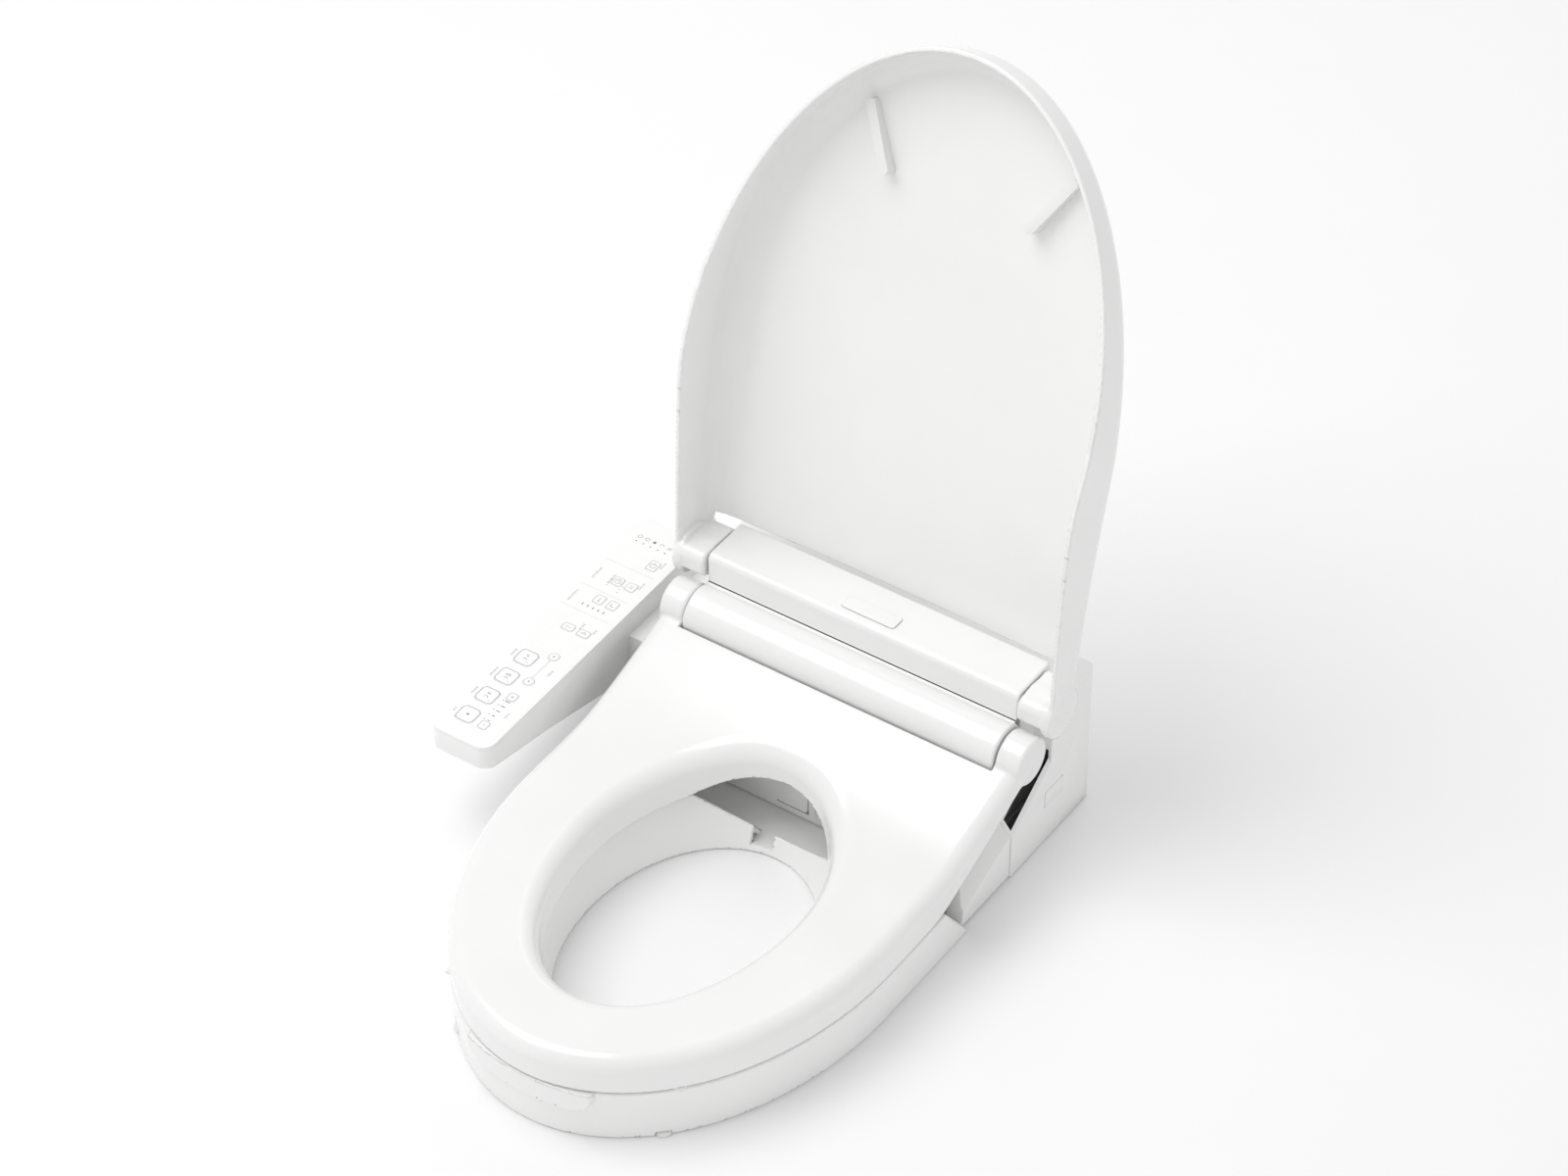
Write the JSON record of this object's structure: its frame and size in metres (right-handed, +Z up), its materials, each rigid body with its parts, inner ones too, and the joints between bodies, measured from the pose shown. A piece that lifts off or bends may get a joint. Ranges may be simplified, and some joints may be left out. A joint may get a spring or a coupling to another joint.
{
  "type": "electric bidet seat",
  "caption": "Electric bidet seat on a raised ring, with sprung lid and heated seat on separate hinge lines, side control arm, retracting wash nozzle and warm-water body.",
  "frame": {"origin": "midway between the two mounting bolt holes, on the bottom face that rests on the bowl", "axes": "+X to the right seen from the front, +Y towards the wall, +Z up"},
  "size_m": [0.439, 0.638, 0.63],
  "materials": {
    "shell_white": "polished moulded plastic, very light grey white",
    "seat_white": "polished moulded plastic",
    "panel_white": "satin moulded plastic with printed legends",
    "key_white": "satin printed key tops",
    "buffer_white": "soft white elastomer",
    "base_grey": "plain grey plastic",
    "pin_white": "acetal",
    "bracket_black": "glass-filled black plastic",
    "steel": "zinc-plated steel",
    "heater_foil": "foil heater sheet",
    "board_green": "printed circuit board",
    "switch_black": "tactile switches",
    "tank_clear": "natural polypropylene",
    "brass": "machined brass",
    "fitting_white": "white thermoplastic",
    "mesh_grey": "filter mesh",
    "hose_black": "rubber hose",
    "charcoal": "carbon block",
    "wand_white": "polished nozzle plastic",
    "gland_black": "soft strain gland"
  },
  "bodies": {
    "housing": {"arm_cover_left": "shell_white", "arm_cover_right": "shell_white", "base_plate": "base_grey", "brand_plate": "panel_white", "case_screws": "steel", "cord_gland": "gland_black", "fan_housing": "bracket_black", "heater_element": "steel", "hinge_bracket_left": "bracket_black", "hinge_bracket_right": "bracket_black", "hinge_cover": "shell_white", "inlet_filter": "mesh_grey", "inlet_fitting": "fitting_white", "intake_grille": "shell_white", "key_switches": "switch_black", "lid_damper": "steel", "lower_case": "base_grey", "main_board": "board_green", "main_case": "shell_white", "nozzle_motor": "steel", "nozzle_rail": "bracket_black", "odour_cartridge": "charcoal", "panel_board": "board_green", "panel_case": "shell_white", "panel_top": "panel_white", "ring_pads": "buffer_white", "riser_ring": "shell_white", "seat_damper": "steel", "solenoid_valve": "bracket_black", "water_hose": "hose_black", "water_tank": "tank_clear"},
    "seat": {"seat_top": "seat_white", "seat_base": "seat_white", "seat_heater": "heater_foil", "seat_bumpers": "buffer_white", "seat_pins": "pin_white"},
    "lid": {"lid_shell": "shell_white", "lid_buffers": "buffer_white", "lid_pins": "pin_white"},
    "nozzle": {"nozzle_wand": "wand_white"},
    "flap": {"nozzle_flap": "shell_white"},
    "pinion": {"drive_pinion": "pin_white"},
    "impeller": {"fan_impeller": "pin_white"},
    "release": {"release_button": "shell_white"},
    "drain": {"drain_plug": "fitting_white"},
    "stop_key_body": {"stop_key": "key_white"},
    "rear_wash_key_body": {"rear_wash_key": "key_white"},
    "soft_wash_key_body": {"soft_wash_key": "key_white"},
    "front_wash_key_body": {"front_wash_key": "key_white"},
    "pressure_minus_key_body": {"pressure_minus_key": "key_white"},
    "pressure_plus_key_body": {"pressure_plus_key": "key_white"},
    "nozzle_back_key_body": {"nozzle_back_key": "key_white"},
    "nozzle_forward_key_body": {"nozzle_forward_key": "key_white"},
    "power_save_key_body": {"power_save_key": "key_white"},
    "nozzle_clean_key_body": {"nozzle_clean_key": "key_white"},
    "water_warmth_key_body": {"water_warmth_key": "key_white"},
    "seat_warmth_key_body": {"seat_warmth_key": "key_white"},
    "timer_key_body": {"timer_key": "key_white"},
    "deodoriser_key_body": {"deodoriser_key": "key_white"},
    "power_key_body": {"power_key": "key_white"}
  },
  "joints": [
    {"name": "lid_hinge", "type": "hinge", "parent": "housing", "child": "lid", "pos_m": [0, 0.004, 0.15], "axis": [-1, 0, 0], "range_deg": [-116.5, 0]},
    {"name": "seat_hinge", "type": "hinge", "parent": "housing", "child": "seat", "pos_m": [0, -0.027, 0.118], "axis": [-1, 0, 0], "range_deg": [0, 110]},
    {"name": "nozzle_slide", "type": "slide", "parent": "housing", "child": "nozzle", "axis": [0, -0.9703, -0.2419], "range_m": [0, 0.11]},
    {"name": "pinion_spin", "type": "hinge", "parent": "housing", "child": "pinion", "pos_m": [-0.015, 0.02, 0.035], "axis": [1, 0, 0], "range_deg": [0, 901]},
    {"name": "flap_hinge", "type": "hinge", "parent": "housing", "child": "flap", "pos_m": [-0.015, -0.0865, 0.043], "axis": [-1, 0, 0], "range_deg": [0, 80.5]},
    {"name": "fan_spin", "type": "hinge", "parent": "housing", "child": "impeller", "pos_m": [0.034, -0.022, 0.025], "axis": [0, 0, 1], "continuous": true},
    {"name": "release_press", "type": "slide", "parent": "housing", "child": "release", "axis": [-1, 0, 0], "range_m": [0, 0.003], "stiffness_N_per_m": 1500},
    {"name": "drain_turn", "type": "hinge", "parent": "housing", "child": "drain", "pos_m": [-0.165, 0.062, 0.062], "axis": [-1, 0, 0], "range_deg": [0, 90]},
    {"name": "stop_press", "type": "slide", "parent": "housing", "child": "stop_key_body", "axis": [0, 0.0262, -0.9997], "range_m": [0, 0.0008], "stiffness_N_per_m": 2500},
    {"name": "rear_wash_press", "type": "slide", "parent": "housing", "child": "rear_wash_key_body", "axis": [0, 0.0262, -0.9997], "range_m": [0, 0.0008], "stiffness_N_per_m": 2500},
    {"name": "soft_wash_press", "type": "slide", "parent": "housing", "child": "soft_wash_key_body", "axis": [0, 0.0262, -0.9997], "range_m": [0, 0.0008], "stiffness_N_per_m": 2500},
    {"name": "front_wash_press", "type": "slide", "parent": "housing", "child": "front_wash_key_body", "axis": [0, 0.0262, -0.9997], "range_m": [0, 0.0008], "stiffness_N_per_m": 2500},
    {"name": "pressure_minus_press", "type": "slide", "parent": "housing", "child": "pressure_minus_key_body", "axis": [0, 0.0262, -0.9997], "range_m": [0, 0.0008], "stiffness_N_per_m": 2500},
    {"name": "pressure_plus_press", "type": "slide", "parent": "housing", "child": "pressure_plus_key_body", "axis": [0, 0.0262, -0.9997], "range_m": [0, 0.0008], "stiffness_N_per_m": 2500},
    {"name": "nozzle_back_press", "type": "slide", "parent": "housing", "child": "nozzle_back_key_body", "axis": [0, 0.0262, -0.9997], "range_m": [0, 0.0008], "stiffness_N_per_m": 2500},
    {"name": "nozzle_forward_press", "type": "slide", "parent": "housing", "child": "nozzle_forward_key_body", "axis": [0, 0.0262, -0.9997], "range_m": [0, 0.0008], "stiffness_N_per_m": 2500},
    {"name": "power_save_press", "type": "slide", "parent": "housing", "child": "power_save_key_body", "axis": [0, 0.0262, -0.9997], "range_m": [0, 0.0008], "stiffness_N_per_m": 2500},
    {"name": "nozzle_clean_press", "type": "slide", "parent": "housing", "child": "nozzle_clean_key_body", "axis": [0, 0.0262, -0.9997], "range_m": [0, 0.0008], "stiffness_N_per_m": 2500},
    {"name": "water_warmth_press", "type": "slide", "parent": "housing", "child": "water_warmth_key_body", "axis": [0, 0.0262, -0.9997], "range_m": [0, 0.0008], "stiffness_N_per_m": 2500},
    {"name": "seat_warmth_press", "type": "slide", "parent": "housing", "child": "seat_warmth_key_body", "axis": [0, 0.0262, -0.9997], "range_m": [0, 0.0008], "stiffness_N_per_m": 2500},
    {"name": "timer_press", "type": "slide", "parent": "housing", "child": "timer_key_body", "axis": [0, 0.0262, -0.9997], "range_m": [0, 0.0008], "stiffness_N_per_m": 2500},
    {"name": "deodoriser_press", "type": "slide", "parent": "housing", "child": "deodoriser_key_body", "axis": [0, 0.0262, -0.9997], "range_m": [0, 0.0008], "stiffness_N_per_m": 2500},
    {"name": "power_press", "type": "slide", "parent": "housing", "child": "power_key_body", "axis": [0, 0.0262, -0.9997], "range_m": [0, 0.0008], "stiffness_N_per_m": 2500}
  ],
  "couplings": [
    {"joint": "pinion_spin", "follows": "nozzle_slide", "rad_per_m": 142.86},
    {"joint": "flap_hinge", "follows": "nozzle_slide", "rad_per_m": 12.693}
  ]
}
